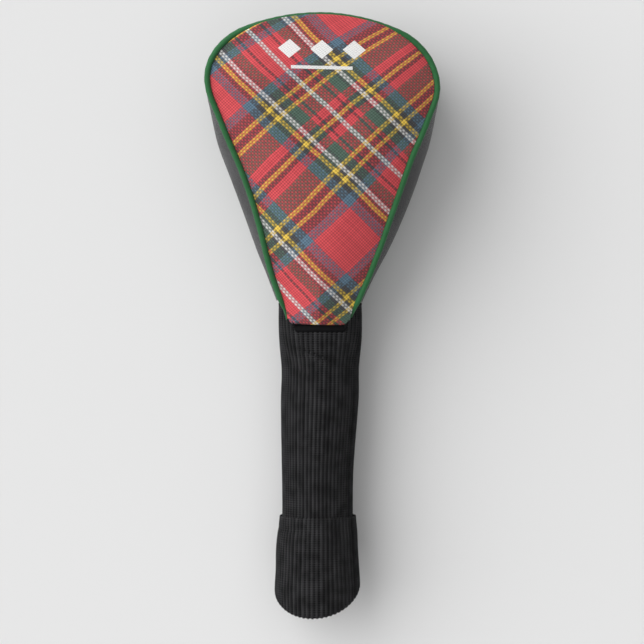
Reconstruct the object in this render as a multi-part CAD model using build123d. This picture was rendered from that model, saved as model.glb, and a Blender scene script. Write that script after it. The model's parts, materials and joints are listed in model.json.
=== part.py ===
"""Driver head cover: a padded shell with a woven front panel, and a ribbed knit sock.

The cover lies on its back panel. +Y points to the crown end of the shell, -Y to the open end
of the sock, +X to the right of the front panel, +Z up through the front panel. The origin is
the middle of the footprint, on the surface that the cover lies on. Millimetres.

The shell is drawn with its mouth at Y = 0, and everything is centred on the origin at the end.
"""

import os
from math import atan2, cos, degrees, radians, sin, sqrt

from build123d import *

# ---- front and back panels: the pear outline, along the panel from the mouth ----
panel_length = 173.3        # mouth to crown
half_width = 61.2           # at the shoulder
crown_radius = 111.0        # flat arc across the crown
shoulder_radius = 30.0      # round corner between crown and flank
flank_angle = 19.5          # each flank leans in towards the mouth by this much
neck_half_width = 20.2      # where the flank turns into the throat
neck_rise = 15.0            # how far above the mouth that is
mouth_half_width = 16.8
skirt = 12.0                # the forms run on past the mouth by this much and are trimmed

# ---- shell: depth and padding ----
front_tilt = 12.1           # slope of the front seam, rising to the crown, in degrees
front_seam_z = 45.5         # height of the front seam at the mouth
back_seam_z = 9.0           # height of the back seam
gusset_swell = (4.2, 5.5, 5.8, 8.6)   # gusset beyond the seam at crown, shoulder, neck, mouth
front_rise = 9.0            # how far the front panel stands up from its seam
# Sections of the two rounded faces: share of the face's height, how far inside its seam the
# section lies at the crown and flanks, the same at the neck and mouth, share of a layer's inset.
front_sections = ((0.47, 4.5, 2.5, 1.0), (0.82, 12.0, 5.0, 1.0), (1.0, 22.0, 8.0, 0.4))
back_sections = ((0.55, 2.6, 1.6, 1.0), (1.0, 9.0, 5.0, 0.5))

# ---- wall layers, from outside in ----
skin = 1.4                  # woven face or leatherette
foam = 3.4                  # padding
fleece = 1.6                # lining
elastic = 1.2               # elastic band inside the mouth, and another in the cuff
elastic_width = 8.0
elastic_start = 3.0         # distance of the band from the mouth
binding_width = 5.0         # bound edge between the shell and the sock

# ---- piping ----
piping_radius = 1.7
piping_wall = 0.5
flange_width = 6.0
flange_thickness = 0.8

# ---- sock, measured from the mouth along its straight centreline ----
cuff_radius = 24.5          # the cuff rests on the surface, so this is also the axis height
knit = 1.5                  # thickness of the ribbed knit
fleece_tube = 1.0           # thickness of the sock's lining
running = 0.3               # gap between knit pieces that move on each other
bend_angle = 28.0           # each bend of the sock, either way, in degrees
ball_above = 6.0            # the ball of a bend runs on past that range inside the section above
ball_below = 1.5            # and below it, both in degrees
collar_radius = 23.9
neck_bend_at = 16.0         # centre of the first bend, where the collar ends
upper_radius = 22.6
sway_at = 62.0              # centre of the second bend, where the upper section ends
lower_radius = 21.0
lower_end = 128.0           # hidden end of the lower section, inside the cuff
cuff_start = 118.0
sock_length = 167.2         # mouth to the front lip of the hem
hem_drop = 14.3             # the hem slants: front lip this much below its sides
hem_setback = 2.0           # the cuff's lining stops short of the hem
band_start = 8.0            # the cuff's elastic, below the top of the cuff

axis_z = cuff_radius
lining_play = 1.2           # length left free at the ends of the linings
wall = skin + foam + fleece
far = 400.0


def seam_plane(height, tilt):
    """A seam's plane: at this height at the mouth, rising by tilt towards the crown."""
    normal = Vector(0, 0, 1).rotate(Axis.X, tilt)
    return Plane(origin=(0, 0, height), x_dir=(1, 0, 0), z_dir=normal)


front_plane = seam_plane(front_seam_z, front_tilt)
back_plane = seam_plane(back_seam_z, 0)
middle_plane = seam_plane((front_seam_z + back_seam_z) / 2, front_tilt / 2)


# ---- shell ----


def half_outline(crown_grow, side_grow, neck_grow, mouth_grow):
    """The right half of the pear outline, from the crown down to the end of the skirt."""
    top = panel_length + crown_grow
    crown = crown_radius + crown_grow
    corner = shoulder_radius + side_grow
    centre_x = half_width - shoulder_radius
    crown_centre = Vector(0, top - crown)
    centre = crown_centre + Vector(centre_x, sqrt((crown - corner) ** 2 - centre_x**2))
    join_way = (centre - crown_centre).normalized()
    flank_way = Vector(1, 0).rotate(Axis.Z, -flank_angle)
    shoulder_way = (join_way + flank_way).normalized()

    apex = Vector(0, top)
    join = crown_centre + join_way * crown
    flank_start = centre + flank_way * corner
    neck = Vector(neck_half_width + neck_grow, neck_rise)
    mouth = Vector(mouth_half_width + mouth_grow, 0)
    crown_way = (Vector(0, 1) + join_way).normalized()

    flank = TangentArc(flank_start, neck, tangent=flank_way.rotate(Axis.Z, -90))
    return [
        ThreePointArc(apex, crown_centre + crown_way * crown, join),
        ThreePointArc(join, centre + shoulder_way * corner, flank_start),
        flank,
        TangentArc(neck, mouth, tangent=flank % 1),
        Line(mouth, mouth - Vector(0, skirt)),
    ]


def outline(plane, swell, inset):
    """The closed pear outline as a face. swell grows it at crown, shoulder, neck and mouth."""
    right = half_outline(*[grow - inset for grow in swell])
    left = [edge.mirror(Plane.YZ) for edge in right]
    foot = Line(left[-1] @ 1, right[-1] @ 1)
    return plane * make_face([*right, foot, *left])


def face_outlines(plane, height, sections, inset):
    """The outlines of a rounded face, from its seam out to its flat middle."""
    outlines = [outline(plane, (0, 0, 0, 0), inset)]
    for share, side, end, inset_share in sections:
        swell = (-side, -side, -end, -end)
        outlines.append(outline(plane.offset(share * height), swell, inset_share * inset))
    return outlines


def form(inset):
    """The whole shell as a solid, moved inwards by inset: back, gusset and domed front."""
    front = face_outlines(front_plane, front_rise - inset, front_sections, inset)
    back = face_outlines(back_plane, inset - back_seam_z, back_sections, inset)
    gusset = loft([back[0], outline(middle_plane, gusset_swell, inset), front[0]])
    return loft(back[::-1]) + gusset + loft(front)


def over(plane, height):
    """Everything further than height over a plane."""
    block = Box(far, far, far, align=(Align.CENTER, Align.CENTER, Align.MIN))
    return plane * Pos(0, 0, height) * block


def across(low, high):
    """Everything between two distances from the mouth, towards the crown."""
    block = Box(far, high - low, far, align=(Align.CENTER, Align.MIN, Align.CENTER))
    return Pos(0, low, 0) * block


def piping(plane):
    """A piping: the wrapped cover with its sewn flange, the cord in it, and both as one tube."""
    right = half_outline(piping_radius, piping_radius, piping_radius, piping_radius)[:-1]
    path = plane * Wire([*right, *[edge.mirror(Plane.YZ) for edge in right]])
    start = Plane(origin=path @ 0, x_dir=plane.z_dir, z_dir=path % 0)
    inward = 1 if start.to_local_coords(plane.origin + plane.y_dir * neck_rise).Y > 0 else -1
    core = piping_radius - piping_wall
    reach = piping_radius - piping_wall / 2
    flange = Pos(0, inward * (reach + flange_width / 2)) * Rectangle(flange_thickness, flange_width)
    cover = sweep(start * (Circle(piping_radius) - Circle(core) + flange), path=path)
    cord = sweep(start * Circle(core), path=path)
    tube = sweep(start * Circle(piping_radius), path=path)
    above_mouth = across(0, far)
    return cover & above_mouth, cord & above_mouth, tube


def shell_layers():
    """The wall, layer by layer, cut along the seams into front, back and two gussets."""
    half_flange = flange_thickness / 2
    front_zone = over(front_plane, half_flange) & across(0, far)
    back_zone = across(0, far) - over(back_plane, -half_flange)
    side_zone = across(0, far) & over(back_plane, half_flange) - over(front_plane, -half_flange)
    left = Box(far, 2 * far, far, align=(Align.MAX, Align.CENTER, Align.CENTER))
    right = Box(far, 2 * far, far, align=(Align.MIN, Align.CENTER, Align.CENTER))
    zones = {
        "front_panel": front_zone,
        "back_panel": back_zone,
        "left_gusset": side_zone & left,
        "right_gusset": side_zone & right,
    }
    insets = {"": (0, skin), "_foam": (skin, skin + foam), "_lining": (skin + foam, wall)}
    forms = {inset: form(inset) for inset in (0, skin, skin + foam, wall)}
    nodes = {}
    for ending, (outer, inner) in insets.items():
        layer = forms[outer] - forms[inner]
        for name, zone in zones.items():
            nodes[name + ending] = layer & zone
    binding = (forms[0] + along_sock(Cylinder(cuff_radius, far))) & across(-binding_width, 0)
    band = (forms[wall] - form(wall + elastic)) & across(elastic_start, elastic_start + elastic_width)
    nodes["mouth_binding"] = binding - along_sock(Cylinder(collar_radius, far))
    nodes["mouth_elastic"] = band
    return nodes


def shell():
    """The layers and both pipings, with room in the gussets for the pipings' tubes."""
    nodes = shell_layers()
    for side, plane in (("front", front_plane), ("back", back_plane)):
        cover, cord, tube = piping(plane)
        nodes[f"{side}_piping_cover"] = cover
        nodes[f"{side}_piping_cord"] = cord
        for name in ("left_gusset", "right_gusset", "front_panel", "back_panel"):
            nodes[name] = nodes[name] - tube
    return nodes


# ---- sock ----


def along_sock(solid):
    """A solid made about the Z axis, laid along the sock's centreline with Z to the hem."""
    return Pos(0, 0, axis_z) * Rot(90, 0, 0) * solid


def tube(outer, inner, start, end):
    """A plain tube between two distances from the mouth."""
    ring = Circle(outer) - Circle(inner)
    return along_sock(Pos(0, 0, start) * extrude(ring, end - start))


def turned(edges):
    """A closed profile of (radius, distance) turned round the sock's centreline."""
    face = Plane.XZ * make_face(edges)
    return along_sock(revolve(face, Axis.Z))


def on_ball(radius, centre, latitude):
    """The profile point on a ball at a latitude, counted towards the mouth, in degrees."""
    angle = radians(latitude)
    return Vector(radius * cos(angle), centre - radius * sin(angle))


def knit_section(ball, centre, lip, radius, end):
    """A knit tube whose top is a zone of a ball, which turns inside the section above it.

    lip is the outer radius of the section above. The narrow stretch below the ball is as long
    as that lip needs at the end of the bend.
    """
    top = bend_angle + ball_above
    low = -bend_angle - ball_below
    groove_end = centre + lip * sin(radians(bend_angle)) + knit
    flare = knit
    outer_low = on_ball(ball, centre, low)
    inner_low = on_ball(ball - knit, centre, low)
    outer_end = Vector(radius, groove_end + flare)
    inner_end = Vector(radius - knit, groove_end + flare + knit)
    return turned([
        ThreePointArc(on_ball(ball, centre, top), on_ball(ball, centre, 0), outer_low),
        Polyline(outer_low, (outer_low.X, groove_end), outer_end, (radius, end)),
        Line((radius, end), (radius - knit, end)),
        Polyline((radius - knit, end), inner_end, (inner_low.X, groove_end + knit), inner_low),
        ThreePointArc(inner_low, on_ball(ball - knit, centre, 0), on_ball(ball - knit, centre, top)),
        Line(on_ball(ball - knit, centre, top), on_ball(ball, centre, top)),
    ]), inner_end.Y


def past_hem(setback):
    """Everything beyond the slanted hem, whose front lip hangs lowest, less a setback."""
    lean = degrees(atan2(hem_drop, cuff_radius))
    plane = Plane(
        origin=(0, 0, sock_length - hem_drop),
        x_dir=(1, 0, 0),
        z_dir=Vector(0, 0, 1).rotate(Axis.X, lean),
    )
    return along_sock(over(plane, -setback))


def cuff():
    """The turned-up cuff: outer knit, lining, and the elastic band sewn in between them."""
    bore = lower_radius + running
    inside = cuff_radius - knit
    band_end = cuff_start + band_start + elastic_width
    band = tube(inside, inside - elastic, cuff_start + band_start, band_end)
    lining = tube(inside, bore, cuff_start + lining_play, sock_length)
    return {
        "cuff": tube(cuff_radius, inside, cuff_start, sock_length) - past_hem(0),
        "cuff_lining": lining - past_hem(hem_setback) - band,
        "cuff_elastic": band,
    }


def sock():
    """The collar, the two knit sections that bend, and the cuff."""
    upper, upper_clear = knit_section(
        collar_radius - knit - running, neck_bend_at, collar_radius, upper_radius, sway_at)
    lower, lower_clear = knit_section(
        upper_radius - knit - running, sway_at, upper_radius, lower_radius, lower_end)
    upper_bore = upper_radius - knit
    lower_bore = lower_radius - knit
    reach = upper_bore * sin(radians(bend_angle + ball_above)) + lining_play
    return {
        "sock_collar": tube(collar_radius, collar_radius - knit, 0, neck_bend_at),
        "sock_upper": upper,
        "sock_upper_lining": tube(upper_bore, upper_bore - fleece_tube, upper_clear, sway_at - reach),
        "sock_lower": lower,
        "sock_lower_lining": tube(lower_bore, lower_bore - fleece_tube, lower_clear, lower_end - lining_play),
    } | cuff()


def main():
    nodes = shell() | sock()
    boxes = [part.bounding_box() for part in nodes.values()]
    middle = (max(box.max.Y for box in boxes) + min(box.min.Y for box in boxes)) / 2
    os.makedirs("parts", exist_ok=True)
    for name, part in nodes.items():
        export_step(Pos(0, -middle, 0) * part, f"parts/{name}.step")


main()
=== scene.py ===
import json
from functools import partial, reduce
from math import acos, atan2, cos, degrees, pi, radians, sin, sqrt

import bmesh
import bpy
import numpy as np
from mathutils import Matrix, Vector
from numpy.linalg import norm


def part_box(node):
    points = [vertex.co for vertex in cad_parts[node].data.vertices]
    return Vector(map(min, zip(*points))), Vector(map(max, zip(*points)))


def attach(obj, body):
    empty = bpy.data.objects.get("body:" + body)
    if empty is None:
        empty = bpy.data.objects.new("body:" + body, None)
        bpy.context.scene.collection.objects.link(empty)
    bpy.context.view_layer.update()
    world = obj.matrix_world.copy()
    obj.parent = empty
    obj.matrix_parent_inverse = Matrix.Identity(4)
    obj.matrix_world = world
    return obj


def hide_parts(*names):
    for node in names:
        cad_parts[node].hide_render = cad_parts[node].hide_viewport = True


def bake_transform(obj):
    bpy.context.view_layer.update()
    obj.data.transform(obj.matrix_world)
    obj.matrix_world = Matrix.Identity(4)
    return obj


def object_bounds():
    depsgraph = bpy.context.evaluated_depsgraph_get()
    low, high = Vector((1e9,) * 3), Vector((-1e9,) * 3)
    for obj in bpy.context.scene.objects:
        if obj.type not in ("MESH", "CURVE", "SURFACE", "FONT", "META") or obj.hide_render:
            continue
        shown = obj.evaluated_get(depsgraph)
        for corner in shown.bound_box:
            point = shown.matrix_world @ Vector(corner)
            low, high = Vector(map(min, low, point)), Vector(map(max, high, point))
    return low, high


scene = bpy.context.scene
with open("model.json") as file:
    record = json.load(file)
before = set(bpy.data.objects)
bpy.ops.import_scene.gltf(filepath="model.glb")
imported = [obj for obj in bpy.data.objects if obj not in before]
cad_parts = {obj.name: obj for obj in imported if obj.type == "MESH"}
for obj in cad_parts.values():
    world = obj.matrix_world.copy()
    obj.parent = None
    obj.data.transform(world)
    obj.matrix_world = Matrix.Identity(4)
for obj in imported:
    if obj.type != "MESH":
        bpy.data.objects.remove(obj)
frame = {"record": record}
cad_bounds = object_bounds()

# Shapes are worked out in millimetres, in the frame's axes. Along the shell, v is the distance
# from the mouth towards the crown. Along the sock, d is the distance from the mouth to the hem.
MM = 1000.0


def box_mm(node):
    """A frame node's lowest and highest corners, in millimetres."""
    low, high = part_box(node)
    return np.array(low) * MM, np.array(high) * MM


def joint(name):
    """A joint of the frame's record."""
    return {row["name"]: row for row in frame["record"]["behaviour"]["joints"]}[name]


# ---- measures taken from the frame ----
back_low, back_high = box_mm("back_piping_cover")
front_high = box_mm("front_piping_cover")[1]
cuff_low, cuff_high = box_mm("cuff")
mouth_y = box_mm("sock_collar")[1][1]
piping_radius = (back_high[2] - back_low[2]) / 2
back_seam_z = (back_high[2] + back_low[2]) / 2
half_width = back_high[0] - 2 * piping_radius
panel_length = back_high[1] - mouth_y - 2 * piping_radius
front_tilt = acos((front_high[1] - mouth_y - piping_radius) / (panel_length + piping_radius))
front_seam_z = front_high[2] - piping_radius - (panel_length + piping_radius) * sin(front_tilt)
wall_height = front_seam_z - back_seam_z
axis_z = (cuff_low[2] + cuff_high[2]) / 2
sock_length = mouth_y - cuff_low[1]
neck_bend_at = mouth_y - joint("neck_bend")["pos_m"][1] * MM
sway_at = mouth_y - joint("sock_sway")["pos_m"][1] * MM
CUFF_TRAVEL = joint("cuff_slide")["range_m"][1] * MM

# ---- the shell ----
# It is turned by some degrees about a place above the mouth, bowed, and filled out.
SHELL_TURN, TURN_AT = -1.4, 80.0
SHELL_BOW = [
    (0, 0), (20, 0.1), (35, 0.5), (50, 1.1), (80, 1.0), (96, 0.2),
    (115, -0.3), (130, -0.9), (143, -1.7), (155, -1.9), (176, -1.2),
]
SHELL_FILL = [
    (0, 0.7), (14, 0.4), (30, 0.8), (48, 0.2), (62, -0.6), (80, -1.0), (95, -0.9),
    (109, 0), (125, 0.5), (140, 1.1), (150, 0.6), (158, 0.0), (167, -0.2), (176, 0.1),
]
CROWN_POINTS, SHOULDER_POINTS, FLANK_POINTS, THROAT_POINTS = 60, 90, 160, 40
OUTLINE_POINTS = 500
CROWN_RADIUS = 111.0
SHOULDER_RADIUS = 30.0
FLANK_ANGLE = 19.5
NECK_HALF_WIDTH, NECK_RISE = 20.2, 15.0
MOUTH_HALF_WIDTH = 17.2
# How far the gusset bellies out beyond its seams.
GUSSET_SWELLS = [
    (13, 3.9), (30, 4.6), (46, 7.0), (60, 8.7), (82, 9.8),
    (104, 9.4), (118, 7.4), (132, 4.8), (150, 4.0), (178, 3.6),
]
# A panel's middle line gathers past its knee, in shares of its length.
SPINE_KNEE, SPINE_EASING = 0.6, 0.32
EDGE_CROWDING = 1.5  # the grid is finer towards the seam
FRONT_RISE, FRONT_REACH = 9.0, 30.0  # the padding is level this far from its seam
BACK_REACH = 9.0
# The panels' ends at the mouth: round corners, a bow, and the front's dip.
TONGUE_CORNER, TONGUE_ROUNDED = 3.4, 0.985
TONGUE_BOW, TONGUE_DRAWN = 0.3, 0.4
TONGUE_LENGTH, TONGUE_DIP, DIP_REACH = 14.0, 2.4, 8.0
SIDE_MOUTH = 15.0  # from the tongues' ends to the gussets'
# The front's padding leans out over the piping at the crown.
CROWN_BULGE, CROWN_ACROSS, CROWN_ALONG = 4.0, (30, 62), (0.62, 0.85)
CROWN_LEAN_AT, CROWN_LIFT, CROWN_LIFT_REACH = 2.0, 0.5, (0.9, 7.0)
PUCKER, PUCKER_SPACING, PUCKER_REACH = 0.25, 1.5, 4.0
CROWN_SEAM = (0.9, 1.6)  # the gussets' groove there: depth, half width
# Unevenness: height, size and seed.
FRONT_WAVES = (0.16, 70, 4)
PUCKER_SHIFT = (2.0, 60, 8)
GUSSET_WAVES = (0.45, 45, 11)
PIPING_SHIFT = (1.0, 40, 3)
PIPING_WAVES = (0.04, 12, 5)
SOCK_WAVES = (0.22, 55, 21)
CUFF_WAVES = (0.25, 40, 31)
WAVES_GROW = 12.0  # from a seam
GUSSET_SPAN, SOCK_ROUND, CUFF_ROUND = 50.0, 140.0, 150.0
# The pipings' ends sink towards the sock, move in, and get slimmer.
TUCK_DEPTH, TUCK_ALONG, TUCK_IN, TUCK_SLIM = 3.4, (17, 2), 1.1, 0.4
PIPING_FROM = 2.0
PIPING_CREASE = (0.05, 0.9)  # height, spacing
PIPING_SLACK = 0.08
PIPING_SIDES, PIPING_POINTS = 18, 420
CORD_RADIUS = 1.15
CORD_SHORT = 3  # points
LAYERS = {"cloth": (0.0, 1.4), "padding": (1.4, 4.8), "fleece": (4.8, 6.4)}
WALL = 6.4
RECESS = 2.0  # from the cloth's edge to the padding's and the lining's
PRESSED = 0.3  # share of the wall's thickness left at the mouth

# ---- the knit sock ----
RIBS, RIB_COLUMNS = 56, 8
RIB_HEIGHT, RIB_ROUNDNESS = 0.6, 0.85
STITCH, STITCH_HEIGHT = 1.3, 0.15
STITCH_SLANT = 1.1
ROW_STEP = STITCH / 3
SOCK_TOP = -20.0
ROOM_DEPTH, SOCK_SPARE = 22, 0.4  # inside the mouth
SOCK_SPLIT = (neck_bend_at + sway_at) / 2
# The sock's hidden end follows the slanted hem, short of it when the cuff slides up.
SOCK_HIDDEN_END, SOCK_SLANT_FROM = 127.0, 100.0
SOCK_SHORT, SOCK_OVERLAP = 4.0, 3.0
BEND_REACH = 17.0  # either way
SOCK_RADII = [
    (-20, 23.8), (6, 23.9), (13, 23.4), (24, 22.4), (43, 22.6),
    (60, 21.9), (71, 21.3), (80, 20.85), (130, 20.4),
]
SQUARE_FROM, SQUARE_TO = -4.0, 24.0  # the square mouth turns round between these
FLOOR_GAP = 0.15
WAVES_FROM, SMOOTH_FROM = (2, 12), (80, 68)
RIBS_FROM, RIBS_PRESSED = (1, 9), 0.15
# Creases in the knit: start (x, d), end (x, d), width, depth.
CREASES = [((-9, 14.0), (5, 20.5), 0.9, 2.4), ((-14, 24.0), (-2, 30.0), 1.6, 0.5)]
LEAN = [
    (-20, -1.1), (-5, -1.0), (28, -0.9), (70, -2.2),
    (82, -2.5), (110, -2.6), (135, -2.8), (170, -2.7),
]
CUFF_TOP = 110.0
CUFF_LIP = 0.35  # half thickness of its upper edge
CUFF_RADII = [
    (108, 21.9), (112, 22.2), (122, 23.2), (131, 23.7), (140, 24.0), (151, 24.7), (172, 24.4),
]
# Inside the cuff the lining keeps clear of the sock.
CUFF_BORE, BORE_SPREAD, BORE_DEEPEST = 21.4, 0.02, 10.0
CUFF_RIBS_FROM = (-2, 6)
CUFF_DENT, CUFF_DENT_TURN = (117, 1.6, 0.6), 0.4  # place, half width, depth
HEM_DROP, HEM_TURN = 14.3, 0.15  # the hem's slant, and which way it faces
HEM_FOLD, HEM_RETURN = 1.3, 15.0
LIP_ROWS, FOLD_ROWS, RETURN_ROWS = 7, 12, 26
ELASTIC_WIDTH = 8.0
MOUTH_ELASTIC_FROM = -11.0
CUFF_ELASTIC_FROM, CUFF_LINING_FROM = 14.0, 7.0  # from the cuff's upper edge
CUFF_LINING_SHORT = 13.0
LINING_STEP, BAND_STEP, SMOOTH_COLUMNS = 1.5, 1.0, 112
# How far inside the knit each layer's skins lie.
SOCK_LINING, MOUTH_ELASTIC = (1.2, 2.2), (2.4, 3.3)
CUFF_LINING, CUFF_ELASTIC = (1.6, 3.0), (0.95, 1.4)
# The binding's section: distance past the shell's edge, height over the knit.
BINDING_PROFILE = [
    (-2.5, -0.3), (-1.2, 0.1), (0.0, 0.6), (1.0, 0.8),
    (2.4, 0.75), (3.4, 0.45), (4.0, 0.0), (3.8, -0.6),
]
BINDING_AT_SIDES = 0.25  # share of its height


# ---- small geometry helpers ----


def ease(at, start, end):
    """0 at start and before it, 1 at end and past it, and smooth between."""
    step = np.clip((np.asarray(at, float) - start) / (end - start), 0, 1)
    return step * step * (3 - 2 * step)


def through(stations, at):
    """A smooth curve through (place, value) stations."""
    places, values = np.array(stations, float).T
    slopes = np.gradient(values, places)
    at = np.clip(np.asarray(at, float), places[0], places[-1])
    i = np.clip(np.searchsorted(places, at) - 1, 0, len(places) - 2)
    width = places[i + 1] - places[i]
    t = (at - places[i]) / width
    u = 1 - t
    ends = u * u * (1 + 2 * t) * values[i] + t * t * (1 + 2 * u) * values[i + 1]
    return ends + t * u * width * (u * slopes[i] - t * slopes[i + 1])


def ripple(a, b, height, size, seed, waves=7, spread=(0.6, 1.7)):
    """Smooth, repeatable unevenness of about that height."""
    draw = np.random.default_rng(seed)
    total = np.zeros(np.broadcast(a, b).shape)
    for _ in range(waves):
        angle, phase = draw.uniform(0, 2 * pi, 2)
        wave = 2 * pi / (size * draw.uniform(*spread))
        total += np.sin(wave * (a * cos(angle) + b * sin(angle)) + phase)
    return height * total * 2 / waves


def arc(centre, radius, start, end, count):
    """Points of an arc between two angles, in degrees."""
    angles = np.radians(np.linspace(start, end, count))
    return centre + radius * np.stack([np.cos(angles), np.sin(angles)], 1)


def bend(start, way, end, count):
    """Points of the arc that leaves start along way to end, and its last direction."""
    side = np.array([-way[1], way[0]])
    chord = end - start
    radius = chord @ chord / (2 * chord @ side)
    turn = 2 * atan2(chord @ side, chord @ way)
    steps = np.linspace(0, turn, count)[:, None]
    points = start + radius * (side - side * np.cos(steps) + way * np.sin(steps))
    return points, way * cos(turn) + side * sin(turn)


def run_of(path):
    """The distance along a path to each of its points."""
    return np.concatenate([[0], np.cumsum(norm(np.diff(path, axis=0), axis=1))])


def half_pear(count, start=0.0):
    """Points (x, v) up a panel's right edge, from start to the crown, and the ways out."""
    crown_centre = np.array([0, panel_length - CROWN_RADIUS])
    centre_x = half_width - SHOULDER_RADIUS
    centre = crown_centre + [centre_x, sqrt((CROWN_RADIUS - SHOULDER_RADIUS) ** 2 - centre_x**2)]
    join = degrees(atan2(centre[1] - crown_centre[1], centre_x))
    crown = arc(crown_centre, CROWN_RADIUS, 90, join, CROWN_POINTS)
    shoulder = arc(centre, SHOULDER_RADIUS, join, -FLANK_ANGLE, SHOULDER_POINTS)
    way = np.array([-sin(radians(FLANK_ANGLE)), -cos(radians(FLANK_ANGLE))])
    neck = np.array([NECK_HALF_WIDTH, NECK_RISE])
    flank, way = bend(shoulder[-1], way, neck, FLANK_POINTS)
    throat, _ = bend(neck, way, np.array([MOUTH_HALF_WIDTH, 0]), THROAT_POINTS)
    path = np.vstack([crown, shoulder[1:], flank[1:], throat[1:]])[::-1]
    along = run_of(path)
    at = np.linspace(np.interp(start, path[:, 1], along), along[-1], count)
    points = np.stack([np.interp(at, along, path[:, 0]), np.interp(at, along, path[:, 1])], 1)
    out = np.gradient(points, axis=0)[:, ::-1] * [1, -1]
    out[-1] = [0, 1]
    out /= norm(out, axis=1)[:, None]
    return points + out * through(SHELL_FILL, points[:, 1])[:, None], out


def pressed(inset, v, start):
    """A layer's inset: the wall is pressed thinner towards the mouth."""
    return inset * (PRESSED + (1 - PRESSED) * ease(v, start, start + TONGUE_LENGTH))


def stacked(*coordinates):
    """Points from their coordinates."""
    return np.stack(np.broadcast_arrays(*coordinates), -1)


def place(x, v, height, seam_z, tilt):
    """Points over a seam's plane, in the frame."""
    y = mouth_y + v * np.cos(tilt) - height * np.sin(tilt)
    z = seam_z + v * np.sin(tilt) + height * np.cos(tilt)
    return stacked(x, y, z)


def turned_shell(points):
    """The shell's points, bowed and turned a little on the floor."""
    turn = radians(SHELL_TURN)
    x = points[..., 0] + through(SHELL_BOW, points[..., 1] - mouth_y)
    y = points[..., 1] - mouth_y - TURN_AT
    turned_y = mouth_y + TURN_AT + x * sin(turn) + y * cos(turn)
    return stacked(x * cos(turn) - y * sin(turn), turned_y, points[..., 2])


def added(name, data):
    thing = bpy.data.objects.new(name, data)
    scene.collection.objects.link(thing)
    return thing


class Shape:
    """Grids of points that share one mesh."""

    def __init__(self):
        self.points, self.cloth, self.faces, self.count = [], [], [], 0

    def grid(self, points, cloth=None, closed=False):
        """Adds rows and columns of points, and returns their indices."""
        rows, columns = points.shape[:2]
        index = self.count + np.arange(rows * columns).reshape(rows, columns)
        self.count += rows * columns
        self.points.append(points.reshape(-1, 3))
        self.cloth.append((points if cloth is None else cloth).reshape(-1, 3))
        if closed:
            index = np.hstack([index, index[:, :1]])
        self.skin(index)
        return index

    def skin(self, index):
        quads = [index[:-1, :-1], index[:-1, 1:], index[1:, 1:], index[1:, :-1]]
        self.faces.append(np.stack(quads, -1).reshape(-1, 4))

    def join(self, one, other):
        """A strip of faces between two lines of indices."""
        self.skin(np.stack([one, other]))

    def piece(self, name, material, slot, body, *nodes):
        """The finished object, in metres."""
        mesh = bpy.data.meshes.new(name)
        points = np.vstack(self.points) / MM
        mesh.from_pydata(points.tolist(), [], np.vstack(self.faces).tolist())
        layer = mesh.attributes.new("cloth", "FLOAT_VECTOR", "POINT")
        layer.data.foreach_set("vector", np.vstack(self.cloth).astype(np.float32).ravel())
        tidy = bmesh.new()
        tidy.from_mesh(mesh)
        bmesh.ops.remove_doubles(tidy, verts=tidy.verts, dist=1e-6)
        bmesh.ops.recalc_face_normals(tidy, faces=tidy.faces)
        tidy.to_mesh(mesh)
        tidy.free()
        mesh.polygons.foreach_set("use_smooth", [True] * len(mesh.polygons))
        mesh.materials.append(material)
        piece = added(name, mesh)
        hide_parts(*nodes)
        if isinstance(body, str):
            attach(piece, body)
        else:
            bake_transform(piece)
        return piece


# ---- materials ----


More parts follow.
